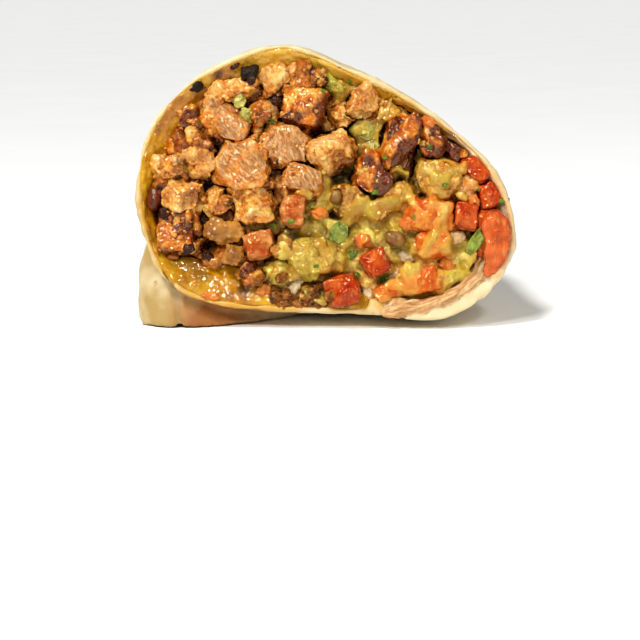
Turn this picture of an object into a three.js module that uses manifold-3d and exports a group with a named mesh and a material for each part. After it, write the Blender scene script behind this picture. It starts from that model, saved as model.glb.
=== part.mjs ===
// Half of a large burrito, lying on its flattened side with the cut face to the front.
// Millimetres, +Z up. The cut face looks along -Y and leans back; the folded end points to +Y.
import * as THREE from 'three';
import { mergeVertices } from 'three/addons/utils/BufferGeometryUtils.js';
import { ImprovedNoise } from 'three/addons/math/ImprovedNoise.js';
import Module from 'manifold-3d';

const wasm = await Module();
wasm.setup();

// Driving dimensions
const halfLength = 84;            // cut rim to folded end
const bodyWidth = 93;             // across the wrapped body
const bodyHeight = 84;            // before the underside flattens on the table
const bodyMiddle = 35;            // height of the body's axis
const faceLean = 12;              // degrees the cut face leans back
const tortillaThickness = 1.4;
const flapThickness = 1.3;
const leafThickness = 0.5;
const mouthFlare = 0.885;         // body's upper outline as a share of the rim's
const gap = 0.3;                  // left between neighbouring pieces
const cheeseThin = 1.1;           // melted cheese where it is only a film on the wall
const fillingRecess = 1;          // how far the filling's middle sits behind its own edge
const cheeseOuterStep = 0.7;      // how far the cheese sits behind the rim at the wall
const cheeseInnerStep = 3.6;      // and at the filling
const fillingReach = 6;           // the most a piece may stand out of the cut
const plyEdge = 64;               // depth where the outer ply's end edge runs round the body
const plyEdgeSway = 5;            // how far that edge wanders along the body
const endFold = 1.5;              // step of the folded end
const skinWrinkle = 0.9;          // height of the outside's soft dents
const mouthDepth = 22;            // the mouth's own outline fades out over this depth
const widthTaper = [4.6, 2.1];    // how bluntly the closed end narrows: powers, in and out
const heightTaper = [3.4, 1.9];
const bedRoundness = 2.4;         // squareness of the body's lower half
const fillingUnevenness = 2.2;    // of the filling between the larger pieces
const frontShares = [0.8, 0.52, 0.25];
const pieceTilt = 0.32;           // the most a piece turns off the cut face, in radians
const thinPieceTilt = 0.6;

const longPiece = 16;             // a longer piece gets one more row of facets
const around = 30;                // facets round the wrap
const noise = new ImprovedNoise();
const radians = THREE.MathUtils.degToRad;
const smooth = THREE.MathUtils.smoothstep;
const leanSin = Math.sin(radians(faceLean));
const leanCos = Math.cos(radians(faceLean));

// The cut rim's outer edge: across and up the cut face, anticlockwise from the left
const rimPoints = [
  [-48, 34], [-46, 24], [-41, 12.5], [-31, 7], [-14, 4.8], [12, 4.2], [30.5, 1.9], [44.5, 13], [48, 25],
  [42.6, 40.4], [31.4, 51.2], [18, 60.2], [2, 67.5], [-9.5, 72], [-20, 69.8], [-36, 61.5], [-45.5, 49],
];
const rimCurve = new THREE.CatmullRomCurve3(
  rimPoints.map(([across, up]) => new THREE.Vector3(across, up, 0)), true, 'centripetal');

// Melted cheese is thickest at the lower left of the mouth: [turn round the rim 0..1, thickness]
const cheeseSwell = [[0, 1.3], [0.06, 1.2], [0.1, 3.6], [0.14, 7.4], [0.19, 9.2], [0.25, 5.6], [0.31, 1.6],
  [0.6, cheeseThin], [0.7, 2.2], [0.76, 4.2], [0.83, 5.4], [0.9, 5.8], [0.95, 4.4], [1, 1.3]];

// The loose flap's hem on the table, from under the rim round the lower left to the back
const flapHem = [
  [-8, 17], [-19, 8], [-31, 3.2], [-40, 3.2], [-46.4, 7.5], [-47.8, 18], [-45.6, 34], [-39, 49], [-28, 60],
];
const flapBulge = 4.4;
const flapRipple = 1.1;

// Where the meat side of the filling meets the sauced salsa side: across, up the face
const fillingSplit = [[-4, 80], [-1, 62], [6, 52], [4, 40], [1, 34], [-8, 27], [-16, 17], [-22, -10]];

// A point given across, up and proud of the cut face, in the part's frame
function facePoint(across, up, proud) {
  return new THREE.Vector3(
    across,
    up * leanSin - proud * leanCos,
    up * leanCos + proud * leanSin,
  );
}

// Value of a [place, value] list at a place, eased between its entries
function along(list, place) {
  let at = 0;
  while (at < list.length - 2 && place > list[at + 1][0]) at += 1;
  const [startPlace, startValue] = list[at];
  const [endPlace, endValue] = list[at + 1];
  return startValue + (endValue - startValue) * smooth(place, startPlace, endPlace);
}

// Outward direction of the rim curve at a turn 0..1
function rimOutward(turn) {
  const tangent = rimCurve.getTangent(turn);
  return new THREE.Vector2(tangent.y, -tangent.x);
}

// The outer ply ends in a curved edge before the folded end, and laps itself along the underside
function outerPlyRelief(angle, depth) {
  const edge = plyEdge + plyEdgeSway * (Math.sin(angle + 0.6) + 0.4 * Math.sin(3 * angle));
  const seam = smooth(angle, -1.2, -1.05) * (1 - smooth(angle, -0.8, -0.1));
  return tortillaThickness * (0.7 * (1 - smooth(depth, edge, edge + 3)) + 0.4 * seam);
}

// Distance round the body's axis, from the rim's own outline above to a squarish bed below
function bodyRadius(rim, angle) {
  const roundness = (Math.abs(Math.cos(angle) / (bodyWidth / 2)) ** bedRoundness
    + Math.abs(Math.sin(angle) / (bodyHeight / 2)) ** bedRoundness) ** (-1 / bedRoundness);
  const ownOutline = mouthFlare * Math.hypot(rim.x, rim.y - bodyMiddle);
  const bedShare = THREE.MathUtils.lerp(0.04, 1, smooth(-Math.sin(angle), -0.1, 0.55));
  return THREE.MathUtils.lerp(ownOutline, roundness, bedShare);
}

// Point of the wrap at a turn round it and a depth behind the cut, a given inset inside its skin
function wrapPoint(turn, depth, inset, outside = false) {
  const rim = rimCurve.getPoint(turn);
  const outward = rimOutward(turn);
  const angle = Math.atan2(rim.y - bodyMiddle, rim.x);
  const endDepth = halfLength - inset;
  const closing = Math.min(depth / endDepth, 1);
  const widthLeft = (1 - closing ** widthTaper[0]) ** (1 / widthTaper[1]);
  const heightLeft = (1 - closing ** heightTaper[0]) ** (1 / heightTaper[1]);
  const wrinkle = skinWrinkle * noise.noise(4 * Math.cos(angle), 4 * Math.sin(angle), depth / 34);
  const relief = outside ? wrinkle + outerPlyRelief(angle, depth) : 0;
  const radius = bodyRadius(rim, angle) - inset + relief;
  const bodyX = radius * widthLeft * Math.cos(angle);
  const bodyZ = bodyMiddle + radius * heightLeft * Math.sin(angle);
  const mouth = facePoint(rim.x - outward.x * inset, rim.y - outward.y * inset, 0);
  const bodyShare = smooth(depth, 0, mouthDepth);
  const x = THREE.MathUtils.lerp(mouth.x, bodyX, bodyShare);
  const z = THREE.MathUtils.lerp(mouth.z, Math.max(bodyZ, inset), bodyShare);
  const leanShare = 1 - smooth(depth, 0, halfLength);
  const shorter = inset * smooth(depth, mouthDepth, halfLength);
  const pastFold = smooth(x * 0.9 + (z - bodyMiddle) * 0.45, -2, 1.5);
  const fold = outside ? endFold * pastFold * smooth(depth, plyEdge + 2, plyEdge + 8) : 0;
  return new THREE.Vector3(x, depth + mouth.y * leanShare - shorter + fold, Math.max(z, inset));
}

// A merged, indexed geometry holding positions only, without collapsed triangles
function plainGeometry(geometry) {
  const bare = geometry.clone();
  bare.deleteAttribute('normal');
  bare.deleteAttribute('uv');
  const merged = mergeVertices(bare, 1e-4);
  const index = [];
  for (let i = 0; i < merged.index.count; i += 3) {
    const [a, b, c] = [0, 1, 2].map((k) => merged.index.getX(i + k));
    if (a !== b && b !== c && c !== a) index.push(a, b, c);
  }
  merged.setIndex(index);
  return merged;
}

// A manifold solid from a closed geometry, and a geometry back from a solid
function toSolid(geometry) {
  const plain = plainGeometry(geometry);
  return new wasm.Manifold(new wasm.Mesh({
    numProp: 3,
    vertProperties: new Float32Array(plain.attributes.position.array),
    triVerts: new Uint32Array(plain.index.array),
  }));
}

function toGeometry(solid) {
  const mesh = solid.getMesh();
  const geometry = new THREE.BufferGeometry();
  geometry.setAttribute('position', new THREE.BufferAttribute(mesh.vertProperties, 3));
  geometry.setIndex(new THREE.BufferAttribute(mesh.triVerts, 1));
  const flat = geometry.toNonIndexed();
  flat.computeVertexNormals();
  return flat;
}

// A closed skin through rings: the first and last rings shrink to single points. The first rows
// may be split along the other diagonal, so that facing walls are split alike
function ringSkin(rings, otherRows = 0) {
  const last = rings.length - 1;
  const count = rings[0].length;
  const geometry = new THREE.PlaneGeometry(1, 1, count, last);
  const place = geometry.attributes.position;
  const index = Array.from(geometry.index.array);
  for (let i = 0; i < 6 * count * otherRows; i += 6) {
    const [a, b, d, , c] = index.slice(i, i + 6);
    index.splice(i, 6, a, b, c, a, c, d);
  }
  geometry.setIndex(index);
  for (let row = 0; row <= last; row += 1) {
    for (let column = 0; column <= count; column += 1) {
      const point = rings[row][column % count];
      place.setXYZ(row * (count + 1) + column, point.x, point.y, point.z);
    }
  }
  return geometry;
}

function ring(pointAt) {
  return Array.from({ length: around }, (unused, i) => pointAt(i / around));
}

// Every point of a ring moved to the ring's middle
function pole(points) {
  const middle = new THREE.Vector3();
  points.forEach((point) => middle.addScaledVector(point, 1 / points.length));
  return points.map(() => middle);
}

// A thin sheet from a surface of two numbers 0..1, both faces split alike
function sheetGeometry(surface, across, alongCount, thickness) {
  const plane = new THREE.PlaneGeometry(1, 1, across, alongCount);
  const rowLength = across + 1;
  const faceCount = rowLength * (alongCount + 1);
  const points = [];
  const step = 1e-3;
  for (const side of [0.5, -0.5]) {
    for (let i = 0; i < faceCount; i += 1) {
      const a = (i % rowLength) / across;
      const b = Math.floor(i / rowLength) / alongCount;
      const alongA = surface(Math.min(a + step, 1), b).sub(surface(Math.max(a - step, 0), b));
      const alongB = surface(a, Math.min(b + step, 1)).sub(surface(a, Math.max(b - step, 0)));
      const normal = alongB.cross(alongA).normalize();
      points.push(...surface(a, b).addScaledVector(normal, side * thickness).toArray());
    }
  }
  const top = Array.from(plane.index.array);
  const bottom = [];
  for (let i = 0; i < top.length; i += 3) {
    bottom.push(top[i] + faceCount, top[i + 2] + faceCount, top[i + 1] + faceCount);
  }
  const edge = [];
  for (let i = 0; i < across; i += 1) edge.push(i);
  for (let i = 0; i < alongCount; i += 1) edge.push(i * rowLength + across);
  for (let i = across; i > 0; i -= 1) edge.push(alongCount * rowLength + i);
  for (let i = alongCount; i > 0; i -= 1) edge.push(i * rowLength);
  const sides = edge.flatMap((start, i) => {
    const end = edge[(i + 1) % edge.length];
    return [start, end + faceCount, start + faceCount, start, end, end + faceCount];
  });
  const geometry = new THREE.BufferGeometry();
  geometry.setAttribute('position', new THREE.Float32BufferAttribute(points, 3));
  geometry.setIndex([...top, ...bottom, ...sides]);
  return geometry;
}

// A solid whose volume is positive, turned the right way out if it was not
function upright(geometry) {
  const solid = toSolid(geometry);
  if (solid.volume() > 0) return solid;
  const turned = plainGeometry(geometry);
  const index = Array.from(turned.index.array);
  for (let i = 0; i < index.length; i += 3) [index[i + 1], index[i + 2]] = [index[i + 2], index[i + 1]];
  turned.setIndex(index);
  return toSolid(turned);
}

const skinDepths = [0, 3, 8, 15, 24, 37, 50, 60, 65, 70, 75, 79, 82, 83.5];
const innerDepths = [0, 7, 16, 32, 54, 73];
const wallInset = tortillaThickness + gap;

// Thickness of the melted cheese on the wall
function cheeseThickness(turn, depth) {
  const swell = along(cheeseSwell, turn) - cheeseThin;
  return cheeseThin + swell * (1 - smooth(depth, 3, mouthDepth));
}

// Rings from the mouth to the closed end at an inset; the first lies proud of the cut face
function innerRings(insetAt, proud) {
  return innerDepths.map((rowDepth, row) => ring((turn) => {
    const depth = row === 0 ? Math.max(-proud, 0) : rowDepth;
    const point = wrapPoint(turn, depth, insetAt(turn, depth));
    return row === 0 ? point.add(facePoint(0, 0, Math.max(proud, 0))) : point;
  }));
}

// Rings over the front of the filling, shrinking to its middle with an uneven surface
function frontRings(edge) {
  const middle = pole(edge)[0];
  return frontShares.map((share) => edge.map((point) => {
    const place = middle.clone().lerp(point, share);
    const swell = fillingUnevenness * noise.noise(place.x / 7, place.z / 7, 2.6);
    return place.add(facePoint(0, 0, swell - fillingRecess * (1 - share)));
  }));
}

function tortillaShell() {
  const outer = skinDepths.map((depth) => ring((turn) => wrapPoint(turn, depth, 0, true)));
  const inner = innerRings(() => tortillaThickness, 0);
  const rings = [pole(outer.at(-1)), ...outer.toReversed(), ...inner, pole(inner.at(-1))];
  return upright(ringSkin(rings, outer.length));
}

// The tortilla's inner end: a crumpled ply along the lower right, grown from the wall beside it
function innerPly(extra) {
  const plyLift = [[0, 0.4], [0.25, 1.9], [0.5, 3.6], [0.8, 3.8], [1, 3]];
  const [plyStart, plyEnd, plyDepth, plyThickness] = [0.29, 0.435, 56, 7];
  const rimLength = rimCurve.getLength();
  const surface = (a, b) => {
    const turn = THREE.MathUtils.lerp(plyStart - extra / rimLength, plyEnd + extra / rimLength, a);
    const depth = 0.6 - extra + b * (plyDepth + 2 * extra);
    const crumple = 1.1 * noise.noise(a * 6, b * 4, 7.3) * smooth(a, 0.15, 0.4);
    return wrapPoint(turn, Math.max(depth, 0), along(plyLift, a) * (1 - 0.45 * b) + crumple);
  };
  return upright(sheetGeometry(surface, 8, 3, plyThickness + 2 * extra));
}

// The loose outer end of the tortilla: grown from the lower left wall, its hem lies on the table
function looseFlap() {
  const hem = new THREE.CatmullRomCurve3(flapHem.map(([x, y]) => new THREE.Vector3(x, y, 0)));
  const rootTurn = [[0, 0.25], [0.15, 0.22], [0.33, 0.15], [0.5, 0.07], [0.7, 0.045], [1, 0.15]];
  const rootDepth = [[0, 18], [0.15, 9], [0.33, 4.5], [0.6, 14], [1, 60]];
  const surface = (a, b) => {
    const root = wrapPoint(along(rootTurn, a), along(rootDepth, a), flapThickness / 2);
    const point = hem.getPoint(a).lerp(root, b);
    const bulge = flapBulge * Math.sin(b * Math.PI) * smooth(a, 0.1, 0.5) * (1 - a);
    const ripple = flapRipple * noise.noise(a * 7, b * 2, 3.1) * (1 - b);
    return point.add(new THREE.Vector3(-bulge, ripple - 0.4 * bulge, 0));
  };
  const below = new THREE.BoxGeometry(2 * bodyWidth, 2 * halfLength, bodyHeight);
  below.translate(0, 0, -bodyHeight / 2);
  return upright(sheetGeometry(surface, 10, 3, flapThickness)).subtract(toSolid(below));
}

// A lump between a ball and a box: corners sharpen as squareness grows, roughness dents it
function lumpGeometry(size, cells, squareness, roughness, seed, extra) {
  const geometry = new THREE.BoxGeometry(2, 2, 2, cells, cells, cells);
  const place = geometry.attributes.position;
  const point = new THREE.Vector3();
  for (let i = 0; i < place.count; i += 1) {
    point.fromBufferAttribute(place, i).normalize();
    const reach = (Math.abs(point.x) ** squareness + Math.abs(point.y) ** squareness
      + Math.abs(point.z) ** squareness) ** (-1 / squareness);
    const dent = 1 + roughness * noise.noise(point.x * 1.9 + seed, point.y * 1.9, point.z * 1.9);
    point.multiplyScalar(reach * dent);
    point.multiply(new THREE.Vector3(size[0] / 2 + extra, size[1] / 2 + extra, size[2] / 2 + extra));
    place.setXYZ(i, point.x, point.y, point.z);
  }
  return geometry;
}

function bend(geometry, curl) {
  const place = geometry.attributes.position;
  for (let i = 0; i < place.count; i += 1) {
    place.setY(i, place.getY(i) + curl * place.getX(i) ** 2);
  }
  return geometry;
}

// A herb leaf: a thin wavy sheet, narrow at both ends
function leafGeometry(size, seed, extra) {
  const surface = (a, b) => {
    const half = (size[0] / 2 + extra) * (0.25 + 0.75 * Math.sin(Math.PI * (0.12 + 0.76 * b)));
    const wave = 0.5 * noise.noise(a * 3 + seed, b * 3, 0.5) + 0.16 * size[0] * (2 * a - 1) ** 2;
    return new THREE.Vector3((2 * a - 1) * half, (b - 0.5) * (size[1] + 2 * extra), wave);
  };
  return sheetGeometry(surface, 3, 4, leafThickness + 2 * extra);
}

// How each kind is shaped: squareness, roughness, thickness as a share of its width
const kinds = {
  meat_seared: { squareness: 3.2, roughness: 0.5, deep: 0.95, color: 0xc9783a },
  meat_cut: { squareness: 4, roughness: 0.42, deep: 0.7, color: 0xdca98a },
  meat_charred: { squareness: 3, roughness: 0.5, deep: 0.95, color: 0x6f2c18 },
  meat_sauced: { squareness: 3, roughness: 0.5, deep: 0.85, color: 0xbf9148 },
  tomato: { squareness: 5, roughness: 0.26, deep: 0.9, color: 0xe0552c },
  tomato_sauced: { squareness: 5, roughness: 0.22, deep: 0.9, color: 0xdf8a45 },
  bean: { squareness: 2.1, roughness: 0.05, deep: 1, color: 0x5e1f16, curl: 0.03 },
  onion: { squareness: 3.4, roughness: 0.3, deep: 0.4, color: 0xe2cfa4, curl: 0.05 },
  char: { squareness: 2.6, roughness: 0.5, deep: 0.8, color: 0x1f1512 },
  guacamole: { squareness: 2.2, roughness: 0.35, deep: 0.8, color: 0xb9a845 },
  leaf: { color: 0x3f7a2a },
};

// Pieces on the cut face: kind, across, up, width, height, turn in degrees, proud of the face
const pieces = [
  ['meat_seared', -23.5, 60.8, 14.6, 5.6, 17, 0.8], ['meat_cut', -25.6, 52.8, 14.5, 8.6, -36, 1.2],
  ['meat_charred', -35.4, 53.6, 9.4, 6, 8, -0.6], ['meat_charred', -37.9, 48.2, 6.5, 7, 0, -1.6],
  ['meat_seared', -12.8, 62.8, 9.6, 9, 20, 0.4], ['meat_seared', -6.2, 64.3, 8, 6.4, -15, -1.2],
  ['meat_charred', -6, 55.7, 13.4, 11.4, -12, 2.4], ['meat_seared', -15.6, 54.2, 7, 6.4, 10, -0.6],
  ['meat_seared', 4.6, 54, 7.4, 7.4, 20, -0.8], ['meat_seared', 9.6, 57.2, 9.6, 7.4, -6, 0.6],
  ['meat_sauced', 15.9, 55.8, 6, 7, -16, -1], ['meat_seared', -32, 43.8, 11.4, 10.6, -24, 1.2],
  ['meat_cut', -20.3, 41.8, 14.6, 12.2, -12, 2.6], ['meat_seared', -39, 40.6, 9, 8.6, 10, 1.4],
  ['meat_seared', -36, 33.8, 11.8, 9.4, -12, 2], ['meat_cut', -10, 46, 15, 10.6, -26, 0.8],
  ['meat_cut', -5.8, 38.2, 11.6, 7.6, -14, 1.8], ['meat_seared', 1.6, 45.4, 13, 10.6, 22, 3.2],
  ['meat_charred', 11.8, 40, 9.8, 12, -20, 2.2], ['meat_charred', 18.8, 47.2, 9.4, 17.4, -12, 2.8],
  ['meat_charred', 26.7, 47.2, 6.6, 9.4, 12, 0.8], ['meat_charred', 31.6, 45.6, 4.6, 10, 42, -0.8],
  ['meat_sauced', 28.5, 38.2, 12.2, 10.4, -8, 1.4], ['meat_seared', 36, 36, 8, 7.6, 10, -0.4],
  ['meat_charred', -37.3, 25, 11.8, 12, 0, 1.8], ['meat_seared', -27.2, 32.6, 8, 6.6, 30, 0.4],
  ['meat_seared', -18.6, 31.8, 13, 10.8, 6, 1.6], ['meat_sauced', 6, 32.8, 9.6, 10, 8, 1.6],
  ['meat_sauced', 16.4, 32.8, 15, 5.6, 42, 1], ['meat_sauced', -4, 19, 12, 11, 12, 2.6],
  ['meat_sauced', -12.2, 14, 9, 7.6, -20, 0.4], ['meat_sauced', -3.6, 8.4, 9.6, 6, -16, -0.2],
  ['meat_charred', -18.8, 13.8, 6.4, 5.6, -30, 0.6], ['char', -32.6, 61.4, 5, 3.8, 14, 1],
  ['char', -19.2, 64.4, 4.8, 4, 5, 1.2], ['bean', -43, 33.2, 7.6, 4.2, 82, 0.8],
  ['bean', 2.4, 33.4, 4.4, 3.2, 70, 2.8], ['bean', 17.4, 22.9, 6, 4.8, -20, 2],
  ['tomato_sauced', 26, 29.4, 12.4, 9, -6, 1.8], ['tomato', 35, 28.7, 6.6, 7, -10, 2],
  ['tomato', 38, 40.4, 8.6, 5.6, -46, 0.8], ['tomato', 40.9, 34.4, 6.4, 7.6, 14, 0],
  ['tomato', 42.6, 22, 9.6, 17, 4, 2.2], ['tomato_sauced', 27, 22, 8.8, 7.8, 12, 1.2],
  ['tomato', 12.4, 17.1, 7.2, 7, 24, 2.2], ['tomato', 4.2, 10.2, 9, 8.4, 16, 3],
  ['tomato_sauced', 23.3, 13, 11, 7, 8, 1], ['tomato_sauced', 15.2, 9.4, 6.8, 5.4, 20, 0.6],
  ['tomato', -16.4, 21.4, 8.6, 7.6, 14, 1.8], ['tomato', -8.4, 30, 6.6, 8.6, -6, 2.2],
  ['onion', -25.6, 24.6, 10.4, 6.6, -12, 1.4], ['onion', -23.2, 18.8, 5.4, 5.8, -12, 1.8],
  ['onion', -10.6, 20.4, 6.4, 6, 46, 2.2], ['guacamole', 1.6, 62.4, 10, 5, -24, -0.8],
  ['leaf', 3.2, 24.4, 4.4, 5, -24, 3.4], ['leaf', 37.6, 22.6, 3, 8.4, -34, 2.2],
];

// One piece as a solid in the part's frame, grown all round by extra
function pieceSolid([kind, across, up, width, height, turn, proud], seed, extra) {
  const shape = kinds[kind];
  const deep = kind === 'leaf' ? leafThickness : shape.deep * (width + height) / 2;
  const cells = Math.max(width, height) > longPiece ? 3 : 2;
  const geometry = kind === 'leaf'
    ? leafGeometry([width, height], seed, extra)
    : lumpGeometry([width, height, deep], cells, shape.squareness, shape.roughness, seed, extra);
  if (shape.curl) bend(geometry, shape.curl);
  const tilt = kind === 'leaf' || kind === 'onion' ? thinPieceTilt : pieceTilt;
  const spin = new THREE.Euler(
    tilt * noise.noise(seed, 0.5, 4.2),
    tilt * noise.noise(seed, 7.5, 1.2),
    radians(turn), 'ZXY');
  const centre = facePoint(across, up, proud - deep / 2);
  const place = new THREE.Matrix4()
    .makeTranslation(centre.x, centre.y, centre.z)
    .multiply(new THREE.Matrix4().makeRotationX(Math.PI / 2 - radians(faceLean)))
    .multiply(new THREE.Matrix4().makeRotationFromEuler(spin));
  geometry.applyMatrix4(place);
  return upright(geometry);
}

// The largest body of a solid: loose scraps left by a cut are dropped
function largestBody(solid) {
  return solid.decompose().reduce((best, part) => (part.volume() > best.volume() ? part : best));
}

// The wavy side of the filling that holds the sauce and salsa, as a bar through the whole half
function sauceSide(extra) {
  const outline = new THREE.SplineCurve(fillingSplit.map(([x, y]) => new THREE.Vector2(x - extra, y)));
  const below = fillingSplit.at(-1)[1];
  const above = fillingSplit[0][1];
  const shape = new THREE.Shape([
    ...outline.getPoints(11), new THREE.Vector2(bodyWidth, below), new THREE.Vector2(bodyWidth, above),
  ]);
  const bar = new THREE.ExtrudeGeometry(shape, { depth: 2 * halfLength, bevelEnabled: false });
  bar.rotateX(Math.PI / 2);
  bar.translate(0, 1.5 * halfLength, 0);
  return upright(bar);
}

// Everything within the wrap at an inset, reaching forward past the mouth
function insideSolid(inset) {
  const rings = innerRings(() => inset, 0);
  const before = innerRings(() => inset, fillingReach)[0];
  return upright(ringSkin([pole(before), before, ...rings, pole(rings.at(-1))]));
}

function makeTortilla() {
  const flap = looseFlap().subtract(insideSolid(tortillaThickness));
  const ply = innerPly(0).intersect(insideSolid(tortillaThickness / 2));
  return tortillaShell().add(ply).add(flap);
}

// The melted cheese on the wall, grown towards the filling and the front by extra
function cheeseSolid(extra) {
  const outer = innerRings(() => wallInset - extra, 3 * extra - cheeseOuterStep);
  const inner = innerRings(
    (turn, depth) => wallInset + cheeseThickness(turn, depth) + extra, 2 * extra - cheeseInnerStep);
  const rings = [pole(outer.at(-1)), ...outer.toReversed(), ...inner, pole(inner.at(-1))];
  return upright(ringSkin(rings, outer.length));
}

function buildSolids() {
  const fillingInset = (turn, depth) => wallInset + cheeseThickness(turn, depth) + gap;
  const fillingRings = innerRings(fillingInset, -cheeseInnerStep);
  const front = frontRings(fillingRings[0]);
  const fillingSkin = ringSkin([pole(front.at(-1)), ...front.toReversed(), ...fillingRings,
    pole(fillingRings.at(-1))]);
  const room = insideSolid(wallInset);
  const ply = innerPly(gap);
  const filling = upright(fillingSkin).subtract(ply);
  const wallClear = cheeseSolid(gap);
  const cheese = largestBody(cheeseSolid(0).subtract(ply));
  const solids = { tortilla: makeTortilla(), melted_cheese: cheese };
  const fillings = {
    filling_meat_mix: filling.subtract(sauceSide(gap)),
    filling_salsa_mix: filling.intersect(sauceSide(0)),
  };
  const counts = {};
  const placed = [];
  const ordered = pieces.map((row, i) => ({ row, seed: 1.37 * i + 0.6 }))
    .sort((a, b) => b.row[6] - a.row[6]);
  for (const { row, seed } of ordered) {
    let solid = pieceSolid(row, seed, 0).intersect(room).subtract(ply).subtract(wallClear);
    for (const earlier of placed) solid = solid.subtract(earlier);
    placed.push(pieceSolid(row, seed, gap));
    counts[row[0]] = (counts[row[0]] ?? 0) + 1;
    solids[`${row[0]}_${String(counts[row[0]]).padStart(2, '0')}`] = largestBody(solid);
  }
  for (const [name, solid] of Object.entries(fillings)) {
    solids[name] = largestBody(placed.reduce((rest, pocket) => rest.subtract(pocket), solid));
  }
  return solids;
}

// Colour of a node, from its kind
function colorOf(name) {
  const layers = {
    tortilla: 0xeee0b8, melted_cheese: 0xd8a02a, filling_meat_mix: 0xa9622c, filling_salsa_mix: 0xb8a040,
  };
  return layers[name] ?? kinds[name.slice(0, -3)].color;
}

const group = new THREE.Group();
for (const [name, solid] of Object.entries(buildSolids())) {
  const finish = new THREE.MeshStandardMaterial({ color: colorOf(name), roughness: 0.5, metalness: 0 });
  const mesh = new THREE.Mesh(toGeometry(solid), finish);
  mesh.name = name;
  group.add(mesh);
}

// The origin is on the table, under the middle of the part's box
const box = new THREE.Box3().setFromObject(group);
const middle = box.getCenter(new THREE.Vector3());
group.position.set(-middle.x, -middle.y, -box.min.z);

export default group;
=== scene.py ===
import math
import random

import bpy
import bmesh
from mathutils import Matrix, Vector, noise
from mathutils.bvhtree import BVHTree


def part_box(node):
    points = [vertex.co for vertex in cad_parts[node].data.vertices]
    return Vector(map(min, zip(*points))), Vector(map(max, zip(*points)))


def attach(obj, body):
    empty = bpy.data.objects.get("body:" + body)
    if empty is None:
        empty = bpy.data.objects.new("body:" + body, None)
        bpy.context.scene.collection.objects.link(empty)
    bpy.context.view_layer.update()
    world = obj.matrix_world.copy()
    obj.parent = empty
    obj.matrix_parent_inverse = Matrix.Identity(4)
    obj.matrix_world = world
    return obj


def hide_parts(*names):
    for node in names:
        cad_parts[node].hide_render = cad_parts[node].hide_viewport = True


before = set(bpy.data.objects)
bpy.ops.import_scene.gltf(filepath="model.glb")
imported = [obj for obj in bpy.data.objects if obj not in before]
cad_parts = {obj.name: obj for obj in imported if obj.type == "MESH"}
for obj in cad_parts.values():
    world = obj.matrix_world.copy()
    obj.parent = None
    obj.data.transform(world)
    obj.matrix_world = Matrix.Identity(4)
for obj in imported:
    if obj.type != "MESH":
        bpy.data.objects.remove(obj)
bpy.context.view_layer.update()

mm = 0.001
# vector noise takes its offsets from this seed
noise.seed_set(11)

# the cut face leans back from a foot line on the table
cutFace = {
    "leanDegrees": 12,
    "foot": Vector((0.00028, -0.04187, 0.0)),
}
leanAngle = math.radians(cutFace["leanDegrees"])
faceRight = Vector((1, 0, 0))
faceUp = Vector((0, math.sin(leanAngle), math.cos(leanAngle)))
faceOut = Vector((0, -math.cos(leanAngle), math.sin(leanAngle)))


# millimetres across, up and proud of the cut face, as a place in the scene
def facePoint(across, up, proud=0.0):
    return cutFace["foot"] + (faceRight * across + faceUp * up + faceOut * proud) * mm


# a place in the scene as millimetres across, up and proud of the cut face
def onFace(point):
    offset = (point - cutFace["foot"]) / mm
    return offset.dot(faceRight), offset.dot(faceUp), offset.dot(faceOut)


def smoothStep(value, low, high):
    share = min(max((value - low) / (high - low), 0.0), 1.0)
    return share * share * (3 - 2 * share)


def fade(value, low, high):
    return 1 - smoothStep(value, low, high)


def mix(a, b, share):
    return a + (b - a) * share


# a screen colour as the linear colour that a shader wants; food reflects part of what it shows when lit
def colour(red, green, blue, reflects=0.76):
    linear = [((c / 255 + 0.055) / 1.055) ** 2.4 if c > 10 else c / 3294.6 for c in (red, green, blue)]
    return (*(c * reflects for c in linear), 1.0)


# looks give a tone as a screen colour, a grey share or a finished colour
def asTone(value):
    if isinstance(value, tuple):
        return colour(*value) if len(value) == 3 else value
    return (value, value, value, 1)


# stage, light and camera
stageLook = {
    "distance": 0.42, "framedWidth": 0.160, "aimAcross": -1.5, "aimUp": 2.75,
    "floorSize": 14,
    "floorColour": colour(252, 252, 250, 1.0), "floorShade": colour(249, 249, 247, 1.0),
    "keyFrom": (-0.36, -0.42, 0.90), "keyStrength": 2.5, "keySoftness": 10,
    "skyStrength": 0.24,
    "lamps": {
        "glint": {"at": (-0.22, -0.46, 0.40), "size": 0.10, "power": 1.7},
        "smallGlint": {"at": (0.16, -0.46, 0.42), "size": 0.06, "power": 0.9},
        "sideFill": {"at": (0.50, -0.35, 0.30), "size": 0.30, "power": 0.35},
    },
}


def addObject(name, data):
    added = bpy.data.objects.new(name, data)
    bpy.context.scene.collection.objects.link(added)
    return added


def addLight(name, kind, at, settings):
    lamp = bpy.data.lights.new(name, kind)
    for key, value in settings.items():
        setattr(lamp, key, value)
    light = addObject(name, lamp)
    light.location = at
    light.rotation_euler = (facePoint(0, 35) - light.location).to_track_quat("-Z", "Y").to_euler()


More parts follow.
